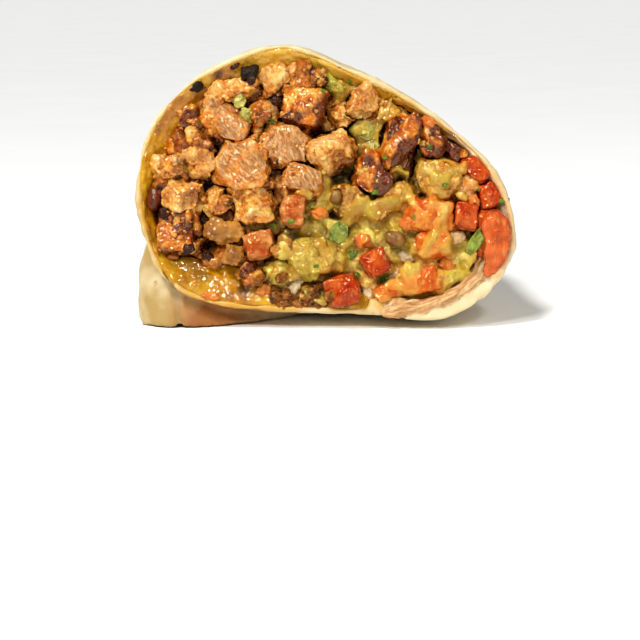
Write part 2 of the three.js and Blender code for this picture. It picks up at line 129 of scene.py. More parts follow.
def makeStage():
    look = stageLook
    cameraData = bpy.data.cameras.new("camera")
    cameraData.sensor_width = 36
    cameraData.lens = 36 * look["distance"] / look["framedWidth"]
    cameraData.clip_start = 0.01
    camera = addObject("camera", cameraData)
    camera.location = facePoint(look["aimAcross"], look["aimUp"]) + faceOut * look["distance"]
    camera.rotation_euler = (-faceOut).to_track_quat("-Z", "Y").to_euler()
    bpy.context.scene.camera = camera

    addLight("softKey", "SUN", look["keyFrom"], {"energy": look["keyStrength"],
                                                 "angle": math.radians(look["keySoftness"])})
    for name, lamp in look["lamps"].items():
        addLight(name, "AREA", lamp["at"], {"shape": "DISK", "size": lamp["size"], "energy": lamp["power"]})
    world = bpy.data.worlds.new("softSky")
    world.use_nodes = True
    sky = world.node_tree.nodes["Background"]
    sky.inputs["Color"].default_value = (1, 1, 1, 1)
    sky.inputs["Strength"].default_value = look["skyStrength"]
    bpy.context.scene.world = world
    bpy.context.scene.view_settings.view_transform = "Standard"

    bm = bmesh.new()
    bmesh.ops.create_grid(bm, x_segments=1, y_segments=1, size=look["floorSize"])
    mesh = bpy.data.meshes.new("floor")
    bm.to_mesh(mesh)
    bm.free()
    floor = addObject("floor", mesh)
    material, tree, shader, where = startMaterial("paleFloor")
    clouds = noiseField(tree, where, 60, 2)
    paint(tree, shader, ramp(tree, clouds, [(0.3, look["floorShade"]), (0.7, look["floorColour"])]), 0.8)
    shader.inputs["Specular IOR Level"].default_value = 0.2
    floor.data.materials.append(material)
    print("stage, lights and camera ready")


# shader helpers
# a new material with its tree, its shader and object coordinates in millimetres
def startMaterial(name):
    material = bpy.data.materials.new(name)
    material.use_nodes = True
    tree = material.node_tree
    coordinates = tree.nodes.new("ShaderNodeTexCoord")
    where = tree.nodes.new("ShaderNodeVectorMath")
    where.operation = "SCALE"
    where.inputs["Scale"].default_value = 1 / mm
    tree.links.new(coordinates.outputs["Object"], where.inputs[0])
    return material, tree, tree.nodes["Principled BSDF"], where.outputs["Vector"]


# noise whose features are about size millimetres across
def noiseField(tree, where, size, detail=3.0, roughness=0.55, stretch=(1, 1, 1)):
    mapping = tree.nodes.new("ShaderNodeMapping")
    mapping.inputs["Scale"].default_value = stretch
    tree.links.new(where, mapping.inputs["Vector"])
    texture = tree.nodes.new("ShaderNodeTexNoise")
    texture.inputs["Scale"].default_value = 1 / size
    texture.inputs["Detail"].default_value = detail
    texture.inputs["Roughness"].default_value = roughness
    tree.links.new(mapping.outputs["Vector"], texture.inputs["Vector"])
    return texture.outputs["Fac"]


# colours or greys along a value; stops are (place, colour) pairs
def ramp(tree, value, stops):
    node = tree.nodes.new("ShaderNodeValToRGB")
    elements = node.color_ramp.elements
    while len(elements) < len(stops):
        elements.new(0.5)
    for element, (spot, shade) in zip(elements, stops):
        element.position = spot
        element.color = asTone(shade)
    tree.links.new(value, node.inputs["Fac"])
    return node.outputs["Color"]


# noise of a size, detail and roughness, turned into tones
def patches(tree, where, grain, stops):
    return ramp(tree, noiseField(tree, where, *grain), stops)


def feed(tree, socket, value):
    if isinstance(value, (int, float, tuple)):
        socket.default_value = asTone(value) if isinstance(value, tuple) else value
    else:
        tree.links.new(value, socket)


def blend(tree, share, first, second):
    node = tree.nodes.new("ShaderNodeMix")
    node.data_type = "RGBA"
    feed(tree, node.inputs[0], share)
    feed(tree, node.inputs[6], first)
    feed(tree, node.inputs[7], second)
    return node.outputs[2]


def combine(tree, operation, first, second):
    node = tree.nodes.new("ShaderNodeMath")
    node.operation = operation
    feed(tree, node.inputs[0], first)
    feed(tree, node.inputs[1], second)
    return node.outputs[0]


def weighted(tree, first, firstShare, second, secondShare):
    return combine(tree, "ADD", combine(tree, "MULTIPLY", first, firstShare),
                   combine(tree, "MULTIPLY", second, secondShare))


def attribute(tree, name, output="Fac"):
    node = tree.nodes.new("ShaderNodeAttribute")
    node.attribute_name = name
    return node.outputs[output]


def paint(tree, shader, tone, roughness):
    tree.links.new(tone, shader.inputs["Base Color"])
    feed(tree, shader.inputs["Roughness"], roughness)


def addBump(tree, shader, height, strength, depth):
    bump = tree.nodes.new("ShaderNodeBump")
    bump.inputs["Strength"].default_value = strength
    bump.inputs["Distance"].default_value = depth * mm
    tree.links.new(height, bump.inputs["Height"])
    tree.links.new(bump.outputs["Normal"], shader.inputs["Normal"])


# light scattered under the surface, radii in millimetres
def setGlow(shader, weight, radii):
    shader.inputs["Subsurface Weight"].default_value = weight
    shader.inputs["Subsurface Radius"].default_value = radii
    shader.inputs["Subsurface Scale"].default_value = mm


# a tint keeps the pale room from greying the food; bright lamps still show white in it
def setShine(shader, level, coat=0.0, coatRoughness=0.12, tint=(1.0, 0.82, 0.56, 1.0)):
    shader.inputs["Specular IOR Level"].default_value = level
    shader.inputs["Specular Tint"].default_value = tint
    shader.inputs["Coat Weight"].default_value = coat
    shader.inputs["Coat Roughness"].default_value = coatRoughness


# mesh helpers
# two faces on the same corners enclose nothing, so both go and the mesh stays closed
def dropDoubledFaces(bm):
    same = {}
    for face in bm.faces:
        same.setdefault(frozenset(face.verts), []).append(face)
    doubled = [face for faces in same.values() if len(faces) > 1 for face in faces]
    bmesh.ops.delete(bm, geom=doubled, context="FACES")


# a merged copy of a CAD node's mesh
def nodeMesh(name):
    bm = bmesh.new()
    bm.from_mesh(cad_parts[name].data)
    bmesh.ops.remove_doubles(bm, verts=bm.verts, dist=0.002 * mm)
    dropDoubledFaces(bm)
    return bm


# the mesh after a row of modifiers
def withModifiers(bm, steps):
    mesh = bpy.data.meshes.new("work")
    bm.to_mesh(mesh)
    bm.free()
    worker = addObject("work", mesh)
    for kind, settings in steps:
        modifier = worker.modifiers.new(kind, kind)
        for key, value in settings.items():
            setattr(modifier, key, value)
    shaped = bpy.data.meshes.new_from_object(worker.evaluated_get(bpy.context.evaluated_depsgraph_get()))
    done = bmesh.new()
    done.from_mesh(shaped)
    bpy.data.objects.remove(worker)
    bpy.data.meshes.remove(mesh)
    bpy.data.meshes.remove(shaped)
    return done


def relax(bm, rounds, verts=None):
    for _ in range(rounds):
        bmesh.ops.smooth_vert(bm, verts=verts or bm.verts, factor=0.5,
                              use_axis_x=True, use_axis_y=True, use_axis_z=True)


def voxelled(bm, voxel, rounds=2):
    done = withModifiers(bm, [("REMESH", {"mode": "VOXEL", "voxel_size": voxel * mm})])
    relax(done, rounds)
    return done


# halves edges that are longer than the limit at their middle
def refine(bm, limitAt, rounds=6):
    for _ in range(rounds):
        longEdges = [e for e in bm.edges if e.calc_length() > limitAt((e.verts[0].co + e.verts[1].co) / 2)]
        if not longEdges:
            break
        bmesh.ops.subdivide_edges(bm, edges=longEdges, cuts=1, use_grid_fill=True)
        bmesh.ops.triangulate(bm, faces=[f for f in bm.faces if len(f.verts) > 3])
        dropDoubledFaces(bm)


# moves each vertex along its normal by so many millimetres
def displace(bm, moveAt):
    bm.normal_update()
    moves = [(v, v.normal * moveAt(v) * mm) for v in bm.verts]
    for v, move in moves:
        v.co += move


def addLayers(bm, *names):
    return [bm.verts.layers.float.new(name) for name in names]


def addMesh(bm, other):
    mesh = bpy.data.meshes.new("added")
    other.to_mesh(mesh)
    other.free()
    bm.from_mesh(mesh)
    bpy.data.meshes.remove(mesh)


def finishPiece(bm, name, material, slotName, nodes=()):
    bmesh.ops.recalc_face_normals(bm, faces=bm.faces)
    mesh = bpy.data.meshes.new(name)
    bm.to_mesh(mesh)
    bm.free()
    mesh.polygons.foreach_set("use_smooth", [True] * len(mesh.polygons))
    mesh.materials.append(material)
    piece = addObject(name, mesh)
    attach(piece, "root")
    if nodes:
        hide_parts(*nodes)
    return piece


def nodesOf(kind):
    return sorted(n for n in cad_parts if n.rsplit("_", 1)[0] == kind and n[-2:].isdigit())


# one search tree over several objects
def surfaceTree(pieces):
    verts, faces = [], []
    for piece in pieces:
        start = len(verts)
        verts.extend(v.co.copy() for v in piece.data.vertices)
        faces.extend([start + i for i in p.vertices] for p in piece.data.polygons)
    return BVHTree.FromPolygons(verts, faces)


# how far the filling at a place is the sauced side, 0 to 1
def sauceShareAt(across, up):
    return smoothStep(across - mix(-20, -2, smoothStep(up, 10, 50)), -3, 3)


def sideShareAt(side, across, up):
    share = sauceShareAt(across, up)
    return share if side == "sauce" else 1 - share


# the first surface behind a place on the cut face
def castAt(surface, across, up):
    return surface.ray_cast(facePoint(across, up, 25), -faceOut)


# how far the filling stands proud, averaged round each place of the cut face
reliefLook = {
    "region": (-50, 50, 0, 74), "step": 1.0, "blurRounds": 9, "deepest": -12, "shallow": 0.3, "deep": 4.6,
    "gapSink": 4.0,
    # across, up and size of the gaps
    "gaps": [(4.4, 39, 4.4), (-9.5, 8.4, 4.4), (-3.4, 8.2, 3.6), (-14, 11.6, 3.0), (2, 29.4, 2.0),
             (-2.4, 50.2, 2.4), (23.2, 47, 2.0), (18.8, 38.2, 2.2), (9.6, 35, 1.8), (-12, 21.8, 2.6),
             (-13.4, 57.2, 2.2), (-30, 36.6, 2.2), (-41, 29, 2.8), (-29.6, 21, 2.6), (-22, 47.2, 2.0),
             (24.2, 33, 1.8), (-27, 64.4, 1.8), (4.6, 24.8, 1.6), (-21, 10.6, 2.4)],
}


# 1 in the middle of a named gap between pieces, 0 outside
def gapShare(across, up):
    ragged = noise.noise(Vector((across, up, 3)) / 2)
    return max(fade(math.hypot(across - x, up - y) + ragged, 0.4 * size, size)
               for x, y, size in reliefLook["gaps"])


def makeRelief(surface):
    look = reliefLook
    left, right, low, high = look["region"]
    columns, rows = int((right - left) / look["step"]), int((high - low) / look["step"])
    field = []
    for j in range(rows):
        for i in range(columns):
            hit = castAt(surface, left + i * look["step"], low + j * look["step"])
            field.append(max(onFace(hit[0])[2], look["deepest"]) if hit[0] else look["deepest"])
    for _ in range(look["blurRounds"]):
        soft = field[:]
        for j in range(1, rows - 1):
            for i in range(1, columns - 1):
                k = j * columns + i
                beside = field[k - 1] + field[k + 1] + field[k - columns] + field[k + columns]
                soft[k] = (2 * field[k] + beside) / 6
        field = soft
    print("relief of the cut face measured")

    # 0 on top of the pieces, 1 deep in the gaps between them
    def hollowAt(point):
        across, up, proud = onFace(point)
        i = min(max(int((across - left) / look["step"]), 0), columns - 1)
        j = min(max(int((up - low) / look["step"]), 0), rows - 1)
        sunk = smoothStep(field[j * columns + i] - proud, look["shallow"], look["deep"])
        return max(sunk, gapShare(across, up) * fade(proud, -1.0, 0.6))
    return hollowAt


# sinks the listed gaps a little when asked, then stores how deep each vertex lies, for painted shade in the
# gaps
def addHollow(bm, sink=0.0):
    layer = bm.verts.layers.float.new("paintedGapShade")
    for v in bm.verts:
        across, up, proud = onFace(v.co)
        if sink and proud > -8:
            v.co -= faceOut * sink * gapShare(across, up) * fade(proud, 0.5, 3) * mm
        v[layer] = hollowAt(v.co)


# painted shade: darkens a tone where a surface lies deep in a gap, where shade falls
def shaded(tree, tone, deepTone, share=0.85):
    return blend(tree, combine(tree, "MULTIPLY", attribute(tree, "paintedGapShade"), share), tone, deepTone)


# an uneven lump of a width, height and thickness in millimetres, turned within the cut face
def addLump(bm, spot, sizes, turn, roughness, fineness):
    place = (Matrix.Translation(spot) @ Matrix.Rotation(-leanAngle, 4, "X") @ Matrix.Rotation(-turn, 4, "Y")
             @ Matrix.Diagonal((sizes[0] / 2, sizes[2] / 2, sizes[1] / 2, 1)))
    made = bmesh.ops.create_icosphere(bm, subdivisions=fineness, radius=mm, matrix=place)
    size = min(sizes)
    for v in made["verts"]:
        v.co += noise.noise_vector(v.co / mm / (0.45 * size)) * roughness * size * mm
    return made["verts"]


# the tortilla round it all
tortillaLook = {
    "voxel": 0.76,
    "wrinkle": 0.55,
    "toastSize": 12,
    "foldStep": 2.0,
    "pale": (243, 229, 190),
    "cream": (233, 210, 158),
    "warm": (216, 184, 120),
    "toast": (196, 142, 76),
    "burn": (126, 74, 34),
    "stain": (228, 172, 58),
    "juice": (232, 178, 116),
    "oilPale": (184, 150, 80),
    "oilDeep": (158, 92, 4),
    "plyDeep": (158, 96, 36),
    "ply": (206, 150, 82),
    "plyLight": (236, 202, 146),
    "plyRoute": [(15.5, 4.6), (18.5, 5.2), (25, 6.6), (32, 9.4), (38, 14), (39.5, 18)],
    "plyHalfWidth": 2.1,
    "scorchSpots": [(-41.4, 4.6, 1.5), (-36.2, 2.2, 1.7), (-43.2, 12, 1.0)],
    "flapCrease": [(-39.6, 15), (-37.6, 8), (-36.4, 0)],
}


def tortillaMaterial(look):
    material, tree, shader, where = startMaterial("toastedTortilla")
    base = patches(
        tree, where, (14, 4, 0.6), [(0.30, look["pale"]), (0.52, look["cream"]), (0.72, look["warm"])])
    speckle = patches(tree, where, (1.3, 3, 0.7), [(0.60, 0.0), (0.76, 0.35)])
    tone = blend(tree, speckle, base, look["toast"])
    toast = attribute(tree, "toast")
    grain = noiseField(tree, where, 1.6, 4, 0.7)
    ragged = combine(tree, "ADD", combine(tree, "MULTIPLY", grain, 1.4), -0.1)
    scorch = ramp(tree, combine(tree, "MULTIPLY", toast, ragged), [(0.14, 0.0), (0.34, 0.5), (0.66, 1.0)])
    tone = blend(tree, scorch, tone, look["toast"])
    burn = ramp(tree, combine(tree, "MULTIPLY", toast, grain), [(0.36, 0.0), (0.52, 0.9)])
    tone = blend(tree, burn, tone, look["burn"])
    tone = blend(tree, attribute(tree, "oil"), tone, look["oilPale"])
    tone = blend(tree, attribute(tree, "soaked"), tone, look["oilDeep"])
    stainTone = blend(tree, attribute(tree, "juice"), look["stain"], look["juice"])
    tone = blend(tree, attribute(tree, "stain"), tone, stainTone)
    strands = noiseField(tree, attribute(tree, "plyWay", "Vector"), 0.8, 4, 0.65, (0.16, 1, 1))
    plyTone = ramp(tree, strands, [(0.34, look["plyDeep"]), (0.5, look["ply"]), (0.66, look["plyLight"])])
    tone = blend(tree, attribute(tree, "ply"), tone, plyTone)
    dry = combine(tree, "SUBTRACT", 0.62, combine(tree, "MULTIPLY", attribute(tree, "stain"), 0.32))
    paint(tree, shader, tone, dry)
    setGlow(shader, 0.25, (5, 3.4, 1.8))
    fine = noiseField(tree, where, 0.8, 4, 0.7)
    height = weighted(tree, fine, 0.5, noiseField(tree, where, 3.5, 3, 0.6), 0.5)
    addBump(tree, shader, height, 0.45, 0.5)
    return material


# how far a layer stands up at a place: past the outer layer's hem, three tucks lie over one another
def endFolds(p, depth):
    bend = 3 * noise.noise(p / 15)
    left = smoothStep(-p.x * 0.8 - (p.z - 35) * 0.5 - 4 + bend, -0.5, 0.4)
    right = smoothStep(p.x * 0.9 + (p.z - 35) * 0.35 - 3 + bend, -0.5, 0.4)
    under = smoothStep(22 - p.z + 0.3 * abs(p.x) + bend, -0.5, 0.4)
    hem = 52 + 5 * math.sin(math.atan2(p.z - 35, p.x) + 0.6) + bend
    return (smoothStep(depth, hem + 2, hem + 12) * (0.9 * left + 0.7 * right + 0.9 * under)
            - 0.6 * smoothStep(depth, hem, hem + 1.8))


# 1 where a vertex faces away from the body's long axis, 0 where it faces along it
def outwardShare(vertex):
    around = Vector((vertex.co.x, 0, vertex.co.z - 0.035))
    return vertex.normal.dot(around.normalized())


# how far a place on the cut face is from a drawn line, how far along it, and how far to its side
def alongRoute(route, across, up):
    spot, best, travelled = Vector((across, up)), (1e9, 0.0, 0.0), 0.0
    for start, end in zip(route, route[1:]):
        first, step = Vector(start), Vector(end) - Vector(start)
        share = min(max((spot - first).dot(step) / step.length_squared, 0.0), 1.0)
        offset = spot - (first + step * share)
        side = math.copysign(offset.length, step.x * offset.y - step.y * offset.x)
        best = min(best, (offset.length, travelled + share * step.length, side))
        travelled += step.length
    return best


# share of the torn inner end of the tortilla at a place, and the place along and across its strip
def plyAt(point):
    across, up, proud = onFace(point)
    if proud < -4 or across < 12 or up > 22:
        return 0.0, Vector()
    distance, travelled, side = alongRoute(tortillaLook["plyRoute"], across, up)
    distance += 0.7 * noise.noise(Vector((across / 3, up / 3, 5.5)))
    halfWidth = tortillaLook["plyHalfWidth"]
    return fade(distance, halfWidth - 0.5, halfWidth + 0.3), Vector((travelled, side, proud))


def makeTortilla():
    look = tortillaLook
    bm = nodeMesh("tortilla")
    bmesh.ops.join_triangles(bm, faces=bm.faces, angle_face_threshold=math.radians(40),
                             angle_shape_threshold=math.radians(60))
    crease = bm.edges.layers.float.get("crease_edge") or bm.edges.layers.float.new("crease_edge")
    for edge in bm.edges:
        if len(edge.link_faces) == 2 and edge.calc_face_angle() > math.radians(48):
            edge[crease] = 0.75
    bm = withModifiers(bm, [("SUBSURF", {"levels": 2, "render_levels": 2}),
                            ("REMESH", {"mode": "VOXEL", "voxel_size": look["voxel"] * mm})])
    relax(bm, 2)

    def wrinkle(vertex):
        p = vertex.co / mm
        bed = smoothStep(p.z, 0.5, 6)
        depth = -onFace(vertex.co)[2]
        endShare = smoothStep(depth, 45, 75)
        outward = outwardShare(vertex)
        around = math.atan2(p.z - 35, p.x)
        pleat = noise.noise(Vector((around * 5.2, 0.3, depth / 40))) * 0.5
        fold = 0.5 - abs(noise.noise(Vector((around * 3.2 + p.y / 45, 4.1, p.y / 26))))
        soft = noise.fractal(p / 17, 0.9, 2.1, 3)
        rim = fade(depth, 2, 6)
        fine = noise.noise(p / 2.6) * (0.14 + 0.12 * rim) + noise.noise(p / 6.0) * (0.2 + 0.2 * rim)
        tuck = look["foldStep"] * endFolds(p, depth) if outward > 0 else 0
        share, way = plyAt(vertex.co)
        torn = 0.5 * noise.noise(Vector((way.x / 6, way.y / 0.9, way.z))) + 0.5 * noise.noise(p / 2.2)
        groove = -0.9 * smoothStep(share, 0.02, 0.3) * fade(share, 0.3, 0.75)
        if depth < 14 and p.x < -30 and p.z < 18:
            groove -= 0.8 * fade(alongRoute(look["flapCrease"], p.x, p.z)[0], 0.2, 1.3)
        return (bed * (look["wrinkle"] * (soft + (0.4 + 2.4 * endShare) * pleat + 0.5 * fold) + fine + tuck)
                + share * torn + groove)

    displace(bm, wrinkle)
    toast, stain, juice, ply, oil, soaked = addLayers(bm, "toast", "stain", "juice", "ply", "oil", "soaked")
    plyWay = bm.verts.layers.float_vector.new("plyWay")
    inside = surfaceTree([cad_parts[n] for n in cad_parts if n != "tortilla"])
    bm.normal_update()
    for v in bm.verts:
        p = v.co / mm
        across, up, proud = onFace(v.co)
        outward = outwardShare(v)
        spots = noise.noise(p / look["toastSize"] + Vector((3.1, 8.2, 1.4)))
        small = noise.noise(p / 4.0 + Vector((7.7, 2.2, 9.1)))
        shown = smoothStep(max(outward, v.normal.y), -0.1, 0.3) * smoothStep(-proud, 1.0, 4.0)
        v[toast] = shown * max(0.8 * smoothStep(spots, 0.26, 0.66), 0.7 * smoothStep(small, 0.48, 0.68))
        lowLeft = smoothStep(-across, 2, 28) * fade(up, 16, 50) * fade(-proud, 30, 60)
        v[oil] = lowLeft * min(1, max(0, 0.62 + 0.9 * noise.noise(p / 9) + 0.4 * noise.noise(p / 2.5)))
        if across < -30 and proud > -12 and up < 18:
            for x, y, size in look["scorchSpots"]:
                spotShare = fade(math.hypot(across - x, up - y), 0.4 * size, size)
                v[toast] = max(v[toast], 0.9 * spotShare)
        v[soaked] = (smoothStep(-across, 2, 12) * fade(-across, 33, 42) * fade(up, 7, 13)
                     * fade(-proud, 4, 16) * min(1, max(0, 0.95 + 0.7 * noise.noise(p / 6))))
        if proud < -20:
            continue
        near = inside.find_nearest(v.co, 3 * mm)
        reach = near[3] / mm if near[0] else 3
        soak = fade(reach, 0.6, 1.5 + 0.7 * noise.noise(p / 3))
        v[stain] = 0.9 * soak * fade(outward, 0.3, 0.7) * (1 - 0.8 * v[soaked])
        glazed = (smoothStep(-across, 4, 9) * fade(-across, 36, 40) * fade(up, 9, 14)
                  * fade(-proud, 2, 3.5) * smoothStep(up - 4 + across / 40, -1.5, 0.5))
        v[stain] = max(v[stain], 0.85 * glazed)
        v[juice] = smoothStep(across, 10, 24) * fade(up, 46, 58)
        v[ply], v[plyWay] = plyAt(v.co)
    print("tortilla", len(bm.faces), "faces")
    return finishPiece(bm, "tortillaWrap", tortillaMaterial(look), "tortilla", ["tortilla"])


# melted cheese on the wall
cheeseLook = {
    "finest": 0.7,
    "golden": (202, 134, 8),
    "bright": (228, 172, 34),
    "deep": (146, 88, 4),
    "olive": (176, 150, 44),
    # painted shade for the recessed upper left of the wall
    "paintedWallShade": (178, 108, 22),
    "shade": (66, 30, 4),
    "oil": (190, 96, 14),
    "lit": (250, 198, 74),
    "fleck": (128, 44, 14),
    "cream": (243, 221, 176),
    "juice": (236, 172, 122),
}


def cheeseMaterial(look):
    material, tree, shader, where = startMaterial("meltedCheese")
    base = patches(
        tree, where, (7, 4, 0.6), [(0.32, look["deep"]), (0.5, look["golden"]), (0.68, look["bright"])])
    oil = patches(tree, where, (3.0, 4, 0.65), [(0.54, 0.0), (0.70, 0.65)])
    tone = blend(tree, oil, base, look["oil"])
    olive = patches(tree, where, (8.0, 3, 0.6), [(0.52, 0.0), (0.68, 0.45)])
    tone = blend(tree, olive, tone, look["olive"])
    tone = blend(tree, attribute(tree, "lit"), tone, look["lit"])
    # painted shade on the upper left of the wall
    tone = blend(tree, attribute(tree, "paintedWallShade"), tone, look["paintedWallShade"])
    fleck = patches(tree, where, (1.5, 3, 0.6), [(0.68, 0.0), (0.76, 0.8)])
    tone = blend(tree, fleck, tone, look["fleck"])
    soaked = patches(tree, where, (5, 3, 0.6), [(0.42, look["cream"]), (0.62, look["juice"])])
    tone = shaded(tree, blend(tree, attribute(tree, "juice"), tone, soaked), look["shade"], 0.9)
    gloss = patches(tree, where, (3.0, 2, 0.5), [(0.3, 0.05), (0.7, 0.13)])
    dry = combine(tree, "MULTIPLY", attribute(tree, "paintedWallShade"), 0.45)
    paint(tree, shader, tone, combine(tree, "ADD", gloss, dry))
    setShine(shader, 0.7, 0.1)
    setGlow(shader, 0.25, (3, 1.8, 0.5))
    addBump(tree, shader, noiseField(tree, where, 2.6, 1, 0.5), 0.8, 1.6)
    return material


def makeCheese():
    look = cheeseLook
    bm = nodeMesh("melted_cheese")
    refine(bm, lambda point: mix(look["finest"], 9, smoothStep(-onFace(point)[2], 9, 26)) * mm, 7)
    relax(bm, 4, [v for v in bm.verts if onFace(v.co)[2] > -12])

    def ripple(vertex):
        p = vertex.co / mm
        shown = fade(-onFace(vertex.co)[2], 12, 24)
        outer = smoothStep(outwardShare(vertex), 0.3, 0.8)
        waves = 0.5 * noise.fractal(p / 6, 0.9, 2.1, 3) + 0.25 * noise.noise(p / 1.9) + 0.15
        return 0.7 * outer + shown * waves

    displace(bm, ripple)
    juice, lit, paintedWallShade = addLayers(bm, "juice", "lit", "paintedWallShade")
    for v in bm.verts:
        across, up, _ = onFace(v.co)
        v[juice] = smoothStep(across, 12, 27) * fade(up, 42, 52)
        # painted shade on the upper left of the wall, in the recess behind the filling; the shader also makes
        # it less glossy there
        v[paintedWallShade] = (0.8 * smoothStep(up, 46, 56) * fade(across, -26, -18)
                      * smoothStep(noise.noise(v.co / mm / 3.5), -0.4, 0.25))
        v[lit] = 0.6 * smoothStep(up, 58, 68) * smoothStep(across, -26, -14)
    addHollow(bm)
    print("cheese", len(bm.faces), "faces")
    return finishPiece(bm, "cheeseLayer", cheeseMaterial(look), "melted_cheese", ["melted_cheese"])


# meat: crumbly crust, char in the hollows and fibres where the knife opened it; on the sides turned from the
# key light the char is painted shade as well
meatBase = {
    "voxel": 0.26, "round": 4, "level": 0.5, "smear": 0.9,
    "fleshDeep": (146, 82, 36), "flesh": (178, 120, 64), "fleshLight": (220, 174, 122),
    "sauceDeep": (164, 130, 30), "sauceLight": (222, 190, 76),
    "burntLight": (150, 62, 18), "burntDeep": (26, 8, 4),
}
meatLooks = {
    "meat_seared": {
        **meatBase, "warp": 1.8, "lump": 0.75, "lumpSize": 3.8, "crease": 0.3, "grain": 0.08,
        "grainSize": 0.8, "charShare": 0.34, "cutShare": 0.5, "sauceShare": 0.1,
        "glossy": 0.05, "dull": 0.13, "deep": (154, 68, 12), "crust": (224, 136, 38),
        "crustLight": (244, 180, 82), "tip": (255, 220, 146), "spice": (186, 68, 8), "char": (64, 19, 6),
    },
    "meat_cut": {
        **meatBase, "warp": 1.2, "lump": 0.4, "lumpSize": 4.5, "crease": 0.15, "grain": 0.1, "grainSize": 0.9,
        "charShare": 0.2, "cutShare": 1.0, "sauceShare": 0.08, "smear": 0.8, "glossy": 0.07, "dull": 0.2,
        "deep": (158, 72, 14), "crust": (220, 124, 30), "crustLight": (240, 160, 64), "tip": (252, 212, 140),
        "spice": (196, 80, 16), "char": (70, 24, 8),
    },
    "meat_charred": {
        **meatBase, "warp": 1.5, "lump": 0.55, "lumpSize": 3.8, "crease": 0.35, "grain": 0.06,
        "grainSize": 1.0, "charShare": 1.1, "cutShare": 0.0, "sauceShare": 0.04, "smear": 0.8, "level": 0.7,
        "glossy": 0.04, "dull": 0.12, "burntDeep": (52, 14, 4), "burntLight": (146, 62, 16),
        "deep": (112, 36, 4), "crust": (184, 84, 8), "crustLight": (218, 126, 28), "tip": (248, 186, 88),
        "spice": (132, 38, 6), "char": (92, 28, 8),
    },
    "meat_sauced": {
        **meatBase, "warp": 1.4, "lump": 0.5, "lumpSize": 3.6, "crease": 0.25, "grain": 0.08,
        "grainSize": 0.9, "charShare": 0.2, "cutShare": 0.2, "sauceShare": 0.42, "level": 0.65,
        "glossy": 0.05, "dull": 0.15,
        "deep": (128, 70, 8), "crust": (190, 116, 20), "crustLight": (220, 154, 48), "tip": (246, 206, 110),
        "spice": (170, 78, 10), "char": (70, 30, 8),
    },
}


def meatMaterial(name, look):
    material, tree, shader, where = startMaterial(name)
    speckle = noiseField(tree, where, 0.75, 4, 0.7)
    height = weighted(tree, attribute(tree, "grain"), 0.5, speckle, 0.5)
    # crust tones follow the relief, darker in the pits and paler on the tips: partly crust colour, partly
    # painted shade in the pits and painted highlight on the tips
    crust = ramp(tree, height, [(0.30, look["deep"]), (0.43, look["crust"]), (0.57, look["crustLight"]),
                                (0.74, look["tip"])])
    spice = patches(tree, where, (2.4, 4, 0.65), [(0.50, 0.0), (0.66, 0.6)])
    crust = blend(tree, spice, crust, look["spice"])
    strands = noiseField(tree, attribute(tree, "fibreWay", "Vector"), 0.55, 4, 0.7, (0.12, 1, 1))
    flesh = ramp(tree, strands,
                 [(0.34, look["fleshDeep"]), (0.48, look["flesh"]), (0.62, look["fleshLight"])])
    smear = patches(tree, where, (2.0, 4, 0.7), [(0.50, 0.0), (0.66, look["smear"])])
    tone = blend(tree, combine(tree, "SUBTRACT", attribute(tree, "cut"), smear), crust, flesh)
    char = combine(tree, "MULTIPLY", attribute(tree, "char"),
                   combine(tree, "ADD", noiseField(tree, where, 1.3, 4, 0.7), 0.45))
    burnt = patches(
        tree, where, (0.9, 4, 0.7),
        [(0.36, look["burntDeep"]), (0.50, look["char"]), (0.66, look["burntLight"])])
    tone = blend(tree, ramp(tree, char, [(0.24, 0.0), (0.60, 1.0)]), tone, burnt)
    sauce = ramp(tree, combine(tree, "ADD", attribute(tree, "sauce"),
                               combine(tree, "SUBTRACT", noiseField(tree, where, 3.0, 4, 0.6), 0.5)),
                 [(0.40, 0.0), (0.60, 1.0)])
    sauceTone = patches(tree, where, (3.4, 3, 0.6), [(0.35, look["sauceDeep"]), (0.65, look["sauceLight"])])
    # painted shade: deep in the gaps the tone turns to the char colour
    tone = shaded(tree, blend(tree, sauce, tone, sauceTone), look["char"])
    gloss = patches(tree, where, (1.5, 3, 0.6), [(0.3, look["glossy"]), (0.7, look["dull"])])
    paint(tree, shader, tone, gloss)
    setShine(shader, look["level"])
    setGlow(shader, 0.08, (2.4, 0.9, 0.4))
    coarse = noiseField(tree, where, 1.5, 1, 0.5)
    height = weighted(tree, coarse, 0.9, noiseField(tree, where, 0.6, 1, 0.5), 0.1)
    addBump(tree, shader, height, 1.0, 0.7)
    return material


